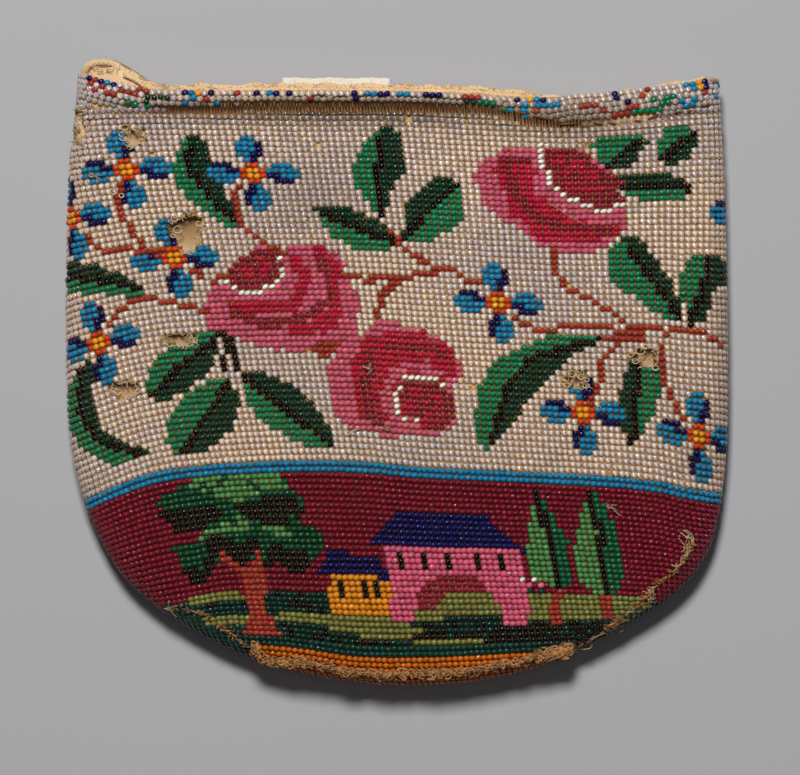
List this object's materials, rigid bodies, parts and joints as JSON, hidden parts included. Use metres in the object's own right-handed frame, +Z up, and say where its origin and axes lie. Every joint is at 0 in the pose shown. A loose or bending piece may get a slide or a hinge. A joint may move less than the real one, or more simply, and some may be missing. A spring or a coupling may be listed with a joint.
{
  "type": "beaded pouch",
  "caption": "Flat rounded pouch knitted with small glass beads in a rose and village pattern, cloth lined, its mouth open along the straight top edge.",
  "frame": {"origin": "middle of the bounding box's bottom, under the bag's back, which lies on the ground", "axes": "+X across the bag to the right of its pictured front, +Y towards its mouth, +Z up out of its pictured front"},
  "size_m": [0.1766, 0.167, 0.0166],
  "materials": {
    "crystal_beads": "clear and lavender glass beads on tan yarn, glossy",
    "turquoise_beads": "opaque turquoise glass beads, glossy",
    "yellow_beads": "opaque yellow-orange glass beads, glossy",
    "pink_beads": "rose pink glass beads, glossy",
    "crimson_beads": "crimson glass beads, glossy",
    "white_beads": "chalk white glass beads, glossy",
    "green_beads": "emerald glass beads, glossy",
    "dark_green_beads": "dark green glass beads, glossy",
    "olive_beads": "olive glass beads, glossy",
    "brick_beads": "brick red glass beads, glossy",
    "maroon_beads": "maroon glass beads, glossy",
    "navy_beads": "navy glass beads, glossy",
    "ochre_beads": "ochre glass beads, glossy",
    "amber_beads": "amber orange glass beads, glossy",
    "lining_cloth": "aged cream cotton, plain weave, matte",
    "tape_cloth": "white woven cotton tape, matte",
    "braid_yarn": "frayed tan looped yarn, matte"
  },
  "bodies": {
    "root": {"beaded_bag": "crystal_beads", "lining_bag": "lining_cloth", "label_tape": "tape_cloth", "bottom_braid": "braid_yarn", "blue_band": "turquoise_beads", "evening_sky": "maroon_beads", "tree_crown": "green_beads", "tree_trunk": "brick_beads", "ochre_house": "ochre_beads", "ochre_roof": "navy_beads", "pink_house": "pink_beads", "pink_roof": "navy_beads", "arch_shade": "crimson_beads", "poplar_left": "green_beads", "poplar_left_trunk": "brick_beads", "poplar_right": "green_beads", "poplar_right_trunk": "brick_beads", "hill_middle": "olive_beads", "hill_right": "olive_beads", "meadow": "dark_green_beads", "orange_strip": "amber_beads", "stem_top_left": "brick_beads", "stem_rose_left": "brick_beads", "stem_left": "brick_beads", "stem_middle": "brick_beads", "stem_right": "brick_beads", "leaf_top_left": "green_beads", "leaves_middle": "green_beads", "leaf_middle_right": "green_beads", "leaves_top_right": "green_beads", "leaves_right": "green_beads", "leaf_lower_middle": "green_beads", "leaf_lower_right": "green_beads", "leaves_under_rose": "green_beads", "leaf_left_edge": "green_beads", "leaf_crescent": "green_beads", "rose_left_petals": "pink_beads", "rose_left_heart": "crimson_beads", "rose_left_pale_line": "white_beads", "rose_lower_petals": "pink_beads", "rose_lower_heart": "crimson_beads", "rose_lower_pale_line": "white_beads", "rose_upper_right_petals": "pink_beads", "rose_upper_right_heart": "crimson_beads", "rose_upper_right_pale_line": "white_beads", "forget_me_not_1": "turquoise_beads", "forget_me_not_2": "turquoise_beads", "forget_me_not_3": "turquoise_beads", "forget_me_not_4": "turquoise_beads", "forget_me_not_5": "turquoise_beads", "forget_me_not_6": "turquoise_beads", "forget_me_not_7": "turquoise_beads", "forget_me_not_8": "turquoise_beads", "flower_eye_1": "yellow_beads", "flower_eye_2": "yellow_beads", "flower_eye_4": "yellow_beads", "flower_eye_5": "yellow_beads", "flower_eye_6": "yellow_beads", "flower_eye_7": "yellow_beads", "flower_eye_8": "yellow_beads"}
  },
  "joints": []
}
